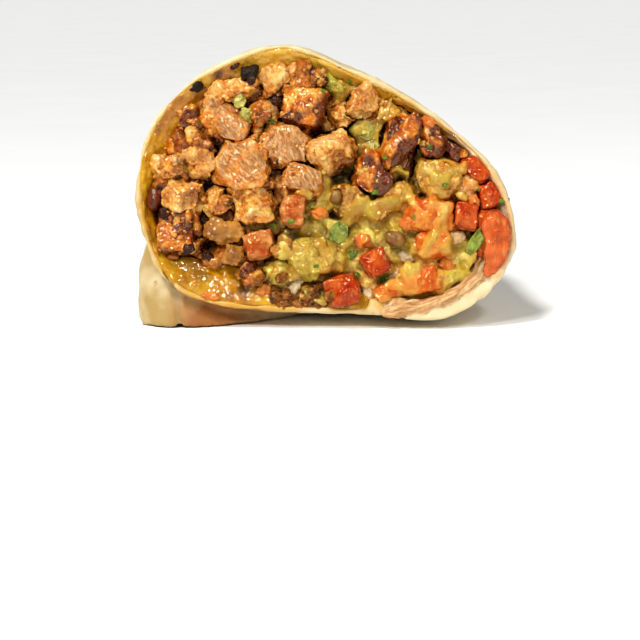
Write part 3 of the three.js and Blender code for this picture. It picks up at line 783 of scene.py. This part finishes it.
def roughenMeat(bm, look, seed):
    shift = Vector((seed * 7.13, seed * 3.37, seed * 5.71))
    grainTurn = Matrix.Rotation(seed * 1.3, 3, "Y") @ Matrix.Rotation(0.4 + 0.2 * math.sin(seed), 3, "X")
    # faces turned right and down, away from the key light, take more char: painted shade as well as char
    seared = (faceRight * 0.8 - faceUp * 0.5).normalized()
    layers = {key: bm.verts.layers.float.new(key) for key in ("grain", "char", "cut", "sauce")}
    fibreWay = bm.verts.layers.float_vector.new("fibreWay")
    bm.normal_update()
    moves = []
    for v in bm.verts:
        p = v.co / mm + shift
        q = p + noise.noise_vector(p / 3.0) * 1.1
        warp = noise.noise(p / 6.5 + Vector((4.2, 7.7, 1.1)))
        lump = noise.fractal(q / look["lumpSize"], 0.8, 2.1, 4)
        crease = 0.6 - 2.4 * abs(noise.noise(q / 2.6 + Vector((8.8, 1.3, 5.2))))
        grain = 1 - 1.7 * noise.voronoi(q / look["grainSize"])[0][0]
        along = grainTurn @ (p + noise.noise_vector(p / 6.0) * 1.2)
        fibre = noise.noise(Vector((along.x / 6.0, along.y / 0.9, along.z / 0.9)))
        facing = v.normal.dot(faceOut)
        cut = look["cutShare"] * smoothStep(facing, 0.45, 0.85) * smoothStep(
            noise.noise(p / 6.0 + Vector((5, 1, 2))), -0.35 - 0.3 * look["cutShare"], 0.2)
        patch = noise.noise(p / 5.5 + Vector((1.7, 9.2, 3.3)))
        sunk = smoothStep(-lump - 0.4 * crease, -0.1, 0.6)
        back = smoothStep(-facing, -0.35, 0.5)
        burnt = 0.25 + 1.2 * patch + 0.4 * sunk + 0.8 * v.normal.dot(seared)
        v[layers["cut"]] = cut
        v[layers["grain"]] = 0.45 + 0.3 * grain + 0.45 * lump + 0.14 * crease
        v[fibreWay] = along
        v[layers["char"]] = min(1.0, max(0.0, look["charShare"] * burnt + 0.35 * back))
        across, up, _ = onFace(v.co)
        splash = smoothStep(across, -30, -16) * fade(up, 30, 38) * fade(across, -6, 4)
        v[layers["sauce"]] = look["sauceShare"] + 0.28 * splash
        rough = look["lump"] * lump + look["crease"] * crease + look["grain"] * grain
        move = look["warp"] * warp + mix(rough, 0.4 * look["lump"] * lump + 0.22 * fibre, cut)
        moves.append((v, v.normal * move * mm))
    for v, move in moves:
        v.co += move
    addHollow(bm, look.get("sink", 0.0))


def makeMeat():
    made = {}
    for kind, look in meatLooks.items():
        material = meatMaterial(kind.replace("_", "") + "Finish", look)
        for number, node in enumerate(nodesOf(kind)):
            bm = voxelled(nodeMesh(node), look["voxel"], look["round"])
            roughenMeat(bm, look, 1.0 + number * 2.3 + len(kind))
            made[node] = finishPiece(bm, "food_" + node, material, kind, [node])
    print("meat", len(made), "pieces", sum(len(o.data.polygons) for o in made.values()), "faces")
    return made


# tomato
tomatoLooks = {
    "tomato": {
        "voxel": 0.4, "round": 2, "lump": 0.4, "deep": (134, 14, 0), "red": (176, 40, 0),
        "light": (208, 84, 12), "veinAndHighlight": (240, 172, 96), "cooked": (166, 66, 12),
        "cookedLight": (226, 156, 80),
        "salmon": (228, 104, 46), "shade": (80, 12, 0),
    },
    "tomato_sauced": {
        "voxel": 0.4, "round": 4, "lump": 0.8, "deep": (190, 56, 6), "red": (210, 92, 18),
        "light": (224, 138, 46), "veinAndHighlight": (238, 200, 104), "cooked": (196, 96, 18),
        "cookedLight": (226, 156, 80), "salmon": (232, 130, 60), "shade": (110, 34, 6),
    },
}


def tomatoMaterial(name, look):
    material, tree, shader, where = startMaterial(name)
    base = patches(
        tree, where, (3.6, 4, 0.6), [(0.30, look["deep"]), (0.48, look["red"]), (0.66, look["light"])])
    # pale vertical streaks: partly tomato veins, partly painted highlight
    veinAndHighlight = ramp(tree, noiseField(tree, where, 1.3, 3, 0.6, (1, 1, 0.35)), [(0.55, 0.0), (0.72, 0.45)])
    cookedTone = patches(tree, where, (3.4, 3, 0.6), [(0.38, look["cooked"]), (0.64, look["cookedLight"])])
    tone = blend(tree, attribute(tree, "cooked"), base, cookedTone)
    tone = blend(tree, attribute(tree, "salmon"), tone, look["salmon"])
    tone = blend(tree, veinAndHighlight, tone, look["veinAndHighlight"])
    gloss = patches(tree, where, (2.0, 2, 0.5), [(0.3, 0.06), (0.7, 0.2)])
    paint(tree, shader, shaded(tree, tone, look["shade"], 0.7), gloss)
    setShine(shader, 0.6, 0.0, 0.07, (1.0, 0.6, 0.3, 1.0))
    setGlow(shader, 0.1, (2.4, 0.8, 0.3))
    addBump(tree, shader, noiseField(tree, where, 3.0, 2, 0.5), 1.0, 1.6)
    return material


def lumpy(amount, size, seed):
    shift = Vector((seed * 4.1, seed * 2.9, seed * 6.3))

    def move(vertex):
        p = vertex.co / mm + shift
        return amount * (noise.fractal(p / size, 0.9, 2.1, 3) + 0.3 * noise.noise(p / (0.3 * size)))
    return move


def makeTomato():
    made = {}
    for kind, look in tomatoLooks.items():
        material = tomatoMaterial(kind.replace("_", "") + "Flesh", look)
        for number, node in enumerate(nodesOf(kind)):
            bm = voxelled(nodeMesh(node), look["voxel"], look["round"])
            large = len(bm.faces) > 3200
            displace(bm, lumpy(0.85 if large else look["lump"], 4.2, number + 2.5))
            addHollow(bm)
            cooked, salmon = addLayers(bm, "cooked", "salmon")
            for v in bm.verts:
                across, up, _ = onFace(v.co)
                mottle = smoothStep(noise.noise(v.co / mm / 3.0), -0.5, 0.2)
                v[cooked] = (0.45 + 0.5 * mottle) * fade(across, -7, 0)
                v[salmon] = (0.35 + 0.6 * mottle) * smoothStep(across, 33, 39) * fade(up, 24, 34)
            made[node] = finishPiece(bm, "food_" + node, material, kind, [node])
    print("tomato", len(made), "pieces")
    return made


# beans, onion, char, herbs and guacamole
smallLooks = {
    "bean": {
        "voxel": 0.3, "lump": 0.3, "size": 2.2, "deep": (66, 14, 4), "light": (128, 46, 14),
        "fleck": (168, 92, 44), "roughness": 0.24, "coat": 0.1, "glow": 0.1, "glowRadii": (2, 0.6, 0.3),
        "bump": 0.4, "film": 0.85,
    },
    "onion": {
        "voxel": 0.3, "lump": 0.9, "size": 4.4, "deep": (120, 60, 8), "light": (206, 140, 54),
        "fleck": (240, 206, 144), "roughness": 0.05, "coat": 0.2, "glow": 0.4, "glowRadii": (4, 3, 1.4),
        "bump": 0.4,
    },
    "char": {
        "voxel": 0.3, "lump": 0.6, "size": 1.6, "level": 0.2, "deep": (12, 8, 7), "light": (36, 20, 14),
        "fleck": (70, 32, 14), "roughness": 0.36, "coat": 0.0, "glow": 0.0, "glowRadii": (1, 1, 1),
        "bump": 0.8,
    },
    "leaf": {
        "longestEdge": 0.5, "crumple": 1.1, "crumpleSize": 1.7, "size": 2.4,
        "deep": (40, 88, 10), "light": (148, 184, 56),
        "fleck": (240, 240, 176), "roughness": 0.18, "coat": 0.05, "glow": 0.1, "glowRadii": (1, 1.4, 0.4),
        "bump": 0.9, "film": 0.4,
    },
}
saucyFilm = (150, 108, 44)
guacamoleLook = {
    "voxel": 0.35, "round": 4, "lump": 0.7, "lumpSize": 2.6,
    "deep": (160, 148, 40), "mid": (212, 202, 78), "light": (242, 234, 140),
    "green": (160, 180, 56), "greenShare": 0.6, "rust": (196, 130, 60), "rustShare": 0.2,
}


# two tones, a fleck, a gloss and a film of sauce where the piece is smeared with it
def plainFoodMaterial(name, look):
    material, tree, shader, where = startMaterial(name)
    cloud = noiseField(tree, where, look["size"], 4, 0.6)
    base = ramp(tree, cloud, [(0.32, look["deep"]), (0.68, look["light"])])
    fleck = patches(tree, where, (look["size"] / 3, 3, 0.65), [(0.60, 0.0), (0.74, 0.5)])
    tone = blend(tree, attribute(tree, "film"), blend(tree, fleck, base, look["fleck"]), saucyFilm)
    paint(tree, shader, tone, look["roughness"])
    setShine(shader, look.get("level", 0.45), 0.5 * look["coat"], 0.1)
    setGlow(shader, look["glow"], look["glowRadii"])
    addBump(tree, shader, noiseField(tree, where, look["size"] / 4, 3, 0.6), look["bump"], 0.3)
    return material


def sauceMaterial(name, look):
    material, tree, shader, where = startMaterial(name)
    base = patches(
        tree, where, (6.5, 4, 0.6), [(0.30, look["deep"]), (0.48, look["mid"]), (0.66, look["light"])])
    green = patches(tree, where, (9.0, 3, 0.6), [(0.50, 0.0), (0.66, look["greenShare"])])
    tone = blend(tree, green, base, look["green"])
    rust = patches(tree, where, (2.4, 4, 0.7), [(0.56, 0.0), (0.70, look["rustShare"])])
    tone = blend(tree, rust, tone, look["rust"])
    if "meatTint" in look:
        tone = blend(tree, attribute(tree, "meatNear"), tone, look["meatTint"])
        tone = blend(tree, attribute(tree, "tomatoNear"), tone, look["tomatoTint"])
        # painted shade deep in the gaps between the pieces
        tone = shaded(tree, tone, look["gapShadeTone"])
    gloss = patches(tree, where, (2.0, 3, 0.6), [(0.3, 0.08), (0.7, 0.26)])
    paint(tree, shader, tone, gloss)
    setShine(shader, 0.6, 0.1, 0.08, (1.0, 0.84, 0.5, 1.0))
    setGlow(shader, 0.2, (2.4, 1.8, 0.5))
    addBump(tree, shader, noiseField(tree, where, 2.2, 2, 0.5), 0.9, 1.0)
    return material


def makeSmallPieces():
    made = {}
    for kind, look in smallLooks.items():
        material = plainFoodMaterial(kind + "Finish", look)
        for number, node in enumerate(nodesOf(kind)):
            bm = nodeMesh(node)
            if "crumple" in look:
                refine(bm, lambda point: look["longestEdge"] * mm, 4)
                for v in bm.verts:
                    v.co += faceOut * look["crumple"] * noise.noise(v.co / mm / look["crumpleSize"]) * mm
            else:
                bm = voxelled(bm, look["voxel"], 5)
                displace(bm, lumpy(look["lump"], 2.4, number + 1.5))
            film, = addLayers(bm, "film")
            for v in bm.verts:
                across, up, _ = onFace(v.co)
                smear = smoothStep(noise.noise(v.co / mm / 2.2), -0.3, 0.35)
                v[film] = look.get("film", 0.0) * sauceShareAt(across, up) * mix(0.5, 1, smear)
            made[node] = finishPiece(bm, "food_" + node, material, kind, [node])
    material = sauceMaterial("guacamolePaste", guacamoleLook)
    for number, node in enumerate(nodesOf("guacamole")):
        bm = voxelled(nodeMesh(node), guacamoleLook["voxel"], guacamoleLook["round"])
        displace(bm, lumpy(guacamoleLook["lump"], guacamoleLook["lumpSize"], number + 7))
        made[node] = finishPiece(bm, "food_" + node, material, "guacamole", [node])
    print("small pieces", len(made))
    return made


# the two mixes that the pieces sit in, with smaller lumps in the gaps
meatMixLook = {
    **meatLooks["meat_seared"], "voxel": 0.52, "warp": 1.2, "lump": 0.6, "lumpSize": 3.2, "crease": 0.35,
    "grain": 0.2, "charShare": 0.6, "cutShare": 0.0, "sauceShare": 0.2, "sink": reliefLook["gapSink"],
    # darker than the pieces: dark juices in the gaps together with painted shade
    "deep": (88, 34, 8), "crust": (150, 74, 16), "crustLight": (194, 116, 34), "tip": (232, 172, 84),
    "char": (40, 14, 6),
    "gapLumps": {"count": 130, "size": (2.2, 4.6), "rough": 0.24, "seed": 12, "side": "meat",
                 "region": (-42, 8, 12, 68), "proud": (-9, -0.9)},
}
salsaLook = {
    "voxel": 0.5, "coat": -0.15, "settle": 6, "strand": 0.45, "lump": 0.6, "thin": 0.95,
    "deep": (156, 118, 24), "mid": (216, 182, 60), "light": (248, 228, 122),
    "green": (170, 168, 54), "greenShare": 0.7, "rust": (190, 92, 18), "rustShare": 0.5,
    # the tone for deep in the gaps is painted shade
    "meatTint": (186, 114, 28), "tomatoTint": (236, 116, 36), "gapShadeTone": (56, 34, 8),
    "coated": ("meat_sauced", "tomato_sauced", "guacamole", "onion"),
    "gapLumps": {"count": 110, "size": (2.4, 5.0), "rough": 0.4, "seed": 21, "side": "sauce",
                 "region": (-8, 42, 6, 41), "proud": (-8, -0.6)},
}


# rounded scraps set into the gaps between the larger pieces
def addGapLumps(bm, look, surface):
    draw = random.Random(look["seed"])
    left, right, low, high = look["region"]
    placed = 0
    for _ in range(look["count"] * 12):
        if placed == look["count"]:
            break
        across, up = draw.uniform(left, right), draw.uniform(low, high)
        if draw.random() > sideShareAt(look["side"], across, up):
            continue
        hit = castAt(surface, across, up)
        if not hit[0] or not look["proud"][0] < onFace(hit[0])[2] < look["proud"][1]:
            continue
        size = mix(*look["size"], draw.random() ** 1.5)
        sizes = (size, size * draw.uniform(0.6, 1.0), size * draw.uniform(0.6, 0.9))
        addLump(bm, hit[0] + faceOut * 0.12 * size * mm, sizes, draw.uniform(0, 3.1), look["rough"], 2)
        placed += 1
    print("lumps in the gaps", placed)


def makeMeatMix(surface):
    look = meatMixLook
    bm = nodeMesh("filling_meat_mix")
    addGapLumps(bm, look["gapLumps"], surface)
    bm = voxelled(bm, look["voxel"], 2)
    roughenMeat(bm, look, 5.5)
    print("meat mix", len(bm.faces), "faces")
    material = meatMaterial("meatMixFinish", look)
    return finishPiece(bm, "meatMix", material, "filling_meat_mix", ["filling_meat_mix"])


# its core with sauce settled round the pieces that sit in it, so their tops stay bare
def makeSalsaMix(surface, meats, tomatoes):
    look = salsaLook
    bm = nodeMesh("filling_salsa_mix")
    addGapLumps(bm, look["gapLumps"], surface)
    for kind in look["coated"]:
        for node in nodesOf(kind):
            if onFace(sum((Vector(c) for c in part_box(node)), Vector()) / 2)[0] < -20:
                continue
            part = nodeMesh(node)
            refine(part, lambda point: 1.2 * mm, 4)
            displace(part, lambda v: look["coat"] + 1.1 * noise.noise(v.co / mm / 4.0))
            addMesh(bm, part)
    bm = voxelled(bm, look["voxel"], look["settle"])

    def strands(vertex):
        p = vertex.co / mm
        q = p + noise.noise_vector(p / 5) * 2
        return (look["strand"] * (0.8 - 3 * abs(noise.noise(q / 4.2)))
                + look["lump"] * noise.fractal(p / 5, 0.9, 2.1, 2))

    displace(bm, strands)
    layers = {key: bm.verts.layers.float.new(key) for key in ("meatNear", "tomatoNear")}
    addHollow(bm, reliefLook["gapSink"])
    bm.normal_update()
    for v in bm.verts:
        if onFace(v.co)[2] < -14:
            continue
        for key, tree in (("meatNear", meats), ("tomatoNear", tomatoes)):
            hit = tree.find_nearest(v.co, 2.5 * mm)
            if hit[0]:
                v[layers[key]] = 0.85 * math.exp(-hit[3] / mm / look["thin"])
    print("salsa mix", len(bm.faces), "faces")
    material = sauceMaterial("salsaSauce", look)
    return finishPiece(bm, "salsaMix", material, "filling_salsa_mix", ["filling_salsa_mix"])


# crumbs and flecks that lie on the cut
crumbLooks = {
    "meatCrumbs": {
        "count": 280, "size": (0.6, 2.0), "slot": "meat_seared", "seed": 3,
        "region": (-42, 14, 16, 68), "side": "meat",
        "tones": ((96, 34, 8), (206, 112, 32), (232, 154, 62), (250, 204, 126)),
    },
    "topCrumbs": {
        "count": 110, "size": (0.9, 3.2), "slot": "meat_sauced", "seed": 9,
        "region": (-3, 30, 52, 66), "side": "sauce",
        "tones": ((120, 60, 14), (190, 116, 36), (214, 158, 66), (236, 204, 126)),
    },
    "sauceBits": {
        "count": 70, "size": (0.6, 1.7), "slot": "meat_sauced", "seed": 5,
        "region": (-12, 46, 4, 62), "side": "sauce",
        "tones": ((200, 84, 24), (220, 146, 48), (230, 186, 84), (242, 214, 130)),
    },
}


def crumbMaterial(name, tones):
    material, tree, shader, where = startMaterial(name)
    base = patches(tree, where, (1.6, 3, 0.6), list(zip((0.30, 0.44, 0.56, 0.70), tones)))
    paint(tree, shader, base, 0.3)
    setShine(shader, 0.3, 0.1)
    setGlow(shader, 0.1, (2, 1, 0.5))
    addBump(tree, shader, noiseField(tree, where, 0.4, 3, 0.6), 0.4, 0.3)
    return material


def scatterCrumbs(name, look, surface):
    draw = random.Random(look["seed"])
    left, right, low, high = look["region"]
    bm = bmesh.new()
    placed = 0
    while placed < look["count"]:
        across, up = draw.uniform(left, right), draw.uniform(low, high)
        onSide = draw.random() <= sideShareAt(look["side"], across, up)
        hit = castAt(surface, across, up)
        if not onSide or not hit[0]:
            placed += 0.2
            continue
        size = mix(*look["size"], draw.random() ** 2)
        sizes = (size, size * draw.uniform(0.5, 1.0), size * draw.uniform(0.4, 0.7))
        addLump(bm, hit[0] - hit[1] * size * 0.05 * mm, sizes, draw.uniform(0, 3.1), 0.5, 3)
        placed += 1
    bmesh.ops.triangulate(bm, faces=bm.faces)
    return finishPiece(bm, name, crumbMaterial(name + "Finish", look["tones"]), look["slot"])


# larger bits, each at its place: across, up, width, height and turn in degrees
bitLooks = {
    "burntBits": {
        "slot": "char", "rough": 0.3,
        "look": {**smallLooks["char"], "light": (70, 26, 14), "coat": 0.1, "roughness": 0.2},
        "rows": [(-12.7, 57.5, 3.4, 2.6, 20), (-34, 20.4, 3.2, 2.4, 10), (-29.6, 18.6, 3.6, 2.2, -20),
                 (-25.4, 17.4, 2.8, 2.2, 0), (-40.4, 29.4, 2.6, 3.4, 10), (-18.6, 62.4, 2.4, 2.0, 0),
                 (-30.6, 27.6, 3.0, 4.0, 15), (14.2, 49.6, 2.6, 3.2, 0), (-22.8, 66.4, 2.8, 1.2, 35)],
    },
    "meatShreds": {
        "slot": "meat_charred", "rough": 0.34,
        "look": {**smallLooks["char"], "deep": (66, 24, 6), "light": (176, 106, 38), "fleck": (238, 194, 124),
                 "roughness": 0.12, "size": 1.8},
        "rows": [(-14.6, 11.4, 5.0, 3.0, 20), (-9.6, 8.8, 5.6, 2.8, -24), (-4.4, 7.4, 4.8, 2.6, 16),
                 (-11.2, 13.4, 3.4, 2.4, 40), (0.8, 8.8, 3.4, 2.6, 0), (-17.2, 16.6, 3.0, 3.4, 0),
                 (-1.2, 11.0, 3.0, 2.2, -40), (-12.4, 8.0, 3.6, 2.4, 0), (-6.8, 10.4, 4.4, 2.2, 30),
                 (-7.2, 6.6, 3.4, 2.0, -10), (-16.6, 12.6, 3.0, 2.6, 60), (-1.4, 6.4, 3.6, 2.0, 0),
                 (-10.6, 6.6, 4.0, 2.2, 12), (-3.0, 9.8, 3.2, 2.6, 50), (-13.0, 10.0, 3.2, 2.6, -20)],
    },
    "avocadoBits": {
        "slot": "guacamole", "rough": 0.42, "sunk": 0.3,
        "look": {**smallLooks["leaf"], "size": 3.0, "deep": (150, 134, 44), "light": (218, 208, 108),
                 "fleck": (244, 240, 176)},
        "rows": [(-20, 53.6, 5.0, 3.6, 30), (-14.5, 51.4, 4.6, 2.6, 10), (8.4, 63.0, 5.4, 3.0, -25),
                 (-13, 44.4, 2.4, 4.4, -30), (10.4, 49.6, 5.6, 4.2, 20), (27.4, 43.8, 4.6, 3.6, 0),
                 (-21.6, 58.0, 3.6, 4.0, 10), (12.6, 45.4, 3.4, 5.0, 0)],
    },
    "orangeBits": {
        "slot": "tomato", "rough": 0.26,
        "look": {**smallLooks["onion"], "deep": (206, 92, 20), "light": (238, 148, 56),
                 "fleck": (246, 196, 120), "glow": 0.2},
        "rows": [(-29, 8.6, 4.6, 2.4, -10), (-15.5, 10.2, 4.0, 3.0, 10), (-1.5, 29.5, 4.6, 3.0, 0),
                 (25.5, 52.2, 4.0, 2.6, -30), (37, 32.5, 3.0, 3.0, 0), (9.4, 22.6, 4.4, 4.0, 20),
                 (20.4, 26.8, 4.4, 3.4, -20), (30.6, 16.8, 4.6, 3.6, 15)],
    },
    "onionBits": {
        "slot": "onion", "rough": 0.16,
        "look": {**smallLooks["onion"], "deep": (222, 176, 120), "light": (244, 216, 170)},
        "rows": [(10.6, 10, 2.6, 6.4, 14), (-8, 11, 3.2, 8, -38), (32.5, 23.5, 5.4, 3.2, 10),
                 (20, 18.6, 4.4, 2.6, -30), (17.2, 13.6, 3.6, 2.4, 30)],
    },
}


def placeBits(name, look, surface):
    bm = bmesh.new()
    for across, up, width, height, turn in look["rows"]:
        hit = castAt(surface, across, up)
        thick = 0.75 * min(width, height)
        rise = 0.1 - look.get("sunk", 0.0)
        addLump(bm, hit[0] + faceOut * rise * thick * mm, (width, height, thick), math.radians(turn),
                look["rough"], 4)
    displace(bm, lumpy(0.25, 1.6, len(name)))
    return finishPiece(bm, name, plainFoodMaterial(name + "Finish", look["look"]), look["slot"])


# chopped herb: thin bent flakes
herbLook = {
    "count": 22, "size": (1.0, 2.2), "thickness": 0.14, "seed": 8, "region": (-14, 44, 8, 62),
    # across, up, size and turn in degrees
    "rows": [(14.5, 13, 3.2, 20), (6.8, 19.4, 3.4, 60), (44.7, 32.5, 2.8, 10), (-8.6, 27.4, 1.8, 0),
             (5.6, 62.6, 2.2, 40), (-13.6, 52.6, 2.6, 20), (29.6, 36.4, 1.6, 0)],
    "finish": {**smallLooks["leaf"], "size": 1.6, "deep": (44, 84, 12), "light": (116, 152, 40),
               "fleck": (140, 172, 60)},
}


def scatterHerbs(look, surface):
    draw = random.Random(look["seed"])
    left, right, low, high = look["region"]
    spots = [(across, up, size, math.radians(turn)) for across, up, size, turn in look["rows"]]
    while len(spots) < look["count"]:
        across, up = draw.uniform(left, right), draw.uniform(low, high)
        if draw.random() < sauceShareAt(across, up):
            spots.append((across, up, mix(*look["size"], draw.random() ** 2), draw.uniform(0, 3.1)))
    bm = bmesh.new()
    for across, up, size, turn in spots:
        hit = castAt(surface, across, up)
        if not hit[0]:
            continue
        flake = bmesh.new()
        bmesh.ops.create_grid(flake, x_segments=5, y_segments=4, size=size / 2 * mm)
        for v in flake.verts:
            x, y = v.co.x / mm, v.co.y / mm
            v.co.y *= 0.3 + 0.35 * math.cos(x / size * 2.6)
            v.co.z = 0.35 * noise.noise(Vector((x * 0.9 + across, y * 0.9 + up, 0))) * size * mm
        bmesh.ops.solidify(flake, geom=flake.faces[:], thickness=look["thickness"] * mm)
        lie = hit[1].to_track_quat("Z", "Y").to_matrix().to_4x4()
        bmesh.ops.transform(flake, verts=flake.verts, matrix=Matrix.Translation(hit[0] + hit[1] * 0.25 * mm)
                            @ lie @ Matrix.Rotation(turn, 4, "Z"))
        addMesh(bm, flake)
    return finishPiece(bm, "herbFlakes", plainFoodMaterial("herbFlakeFinish", look["finish"]), "leaf")


makeStage()
makeTortilla()
wrapNodes = ("tortilla", "melted_cheese")
foodNodes = surfaceTree([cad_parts[n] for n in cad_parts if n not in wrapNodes])
hollowAt = makeRelief(foodNodes)
cheese = makeCheese()
meatMix = makeMeatMix(foodNodes)
meatPieces = makeMeat()
tomatoPieces = makeTomato()
makeSmallPieces()
salsaMix = makeSalsaMix(foodNodes, surfaceTree(meatPieces.values()), surfaceTree(tomatoPieces.values()))
meatSurface = surfaceTree([meatMix, *meatPieces.values()])
scatterCrumbs("meatCrumbs", crumbLooks["meatCrumbs"], meatSurface)
wholeSurface = surfaceTree([cheese, meatMix, salsaMix, *meatPieces.values(), *tomatoPieces.values()])
saucySurface = surfaceTree([salsaMix, *meatPieces.values()])
scatterCrumbs("sauceBits", crumbLooks["sauceBits"], saucySurface)
scatterCrumbs("topCrumbs", crumbLooks["topCrumbs"], surfaceTree([salsaMix, meatMix]))
for bitName, bitLook in bitLooks.items():
    placeBits(bitName, bitLook, surfaceTree([meatMix, salsaMix]) if "sunk" in bitLook else wholeSurface)
scatterHerbs(herbLook, wholeSurface)
print("crumbs, bits and herbs scattered")
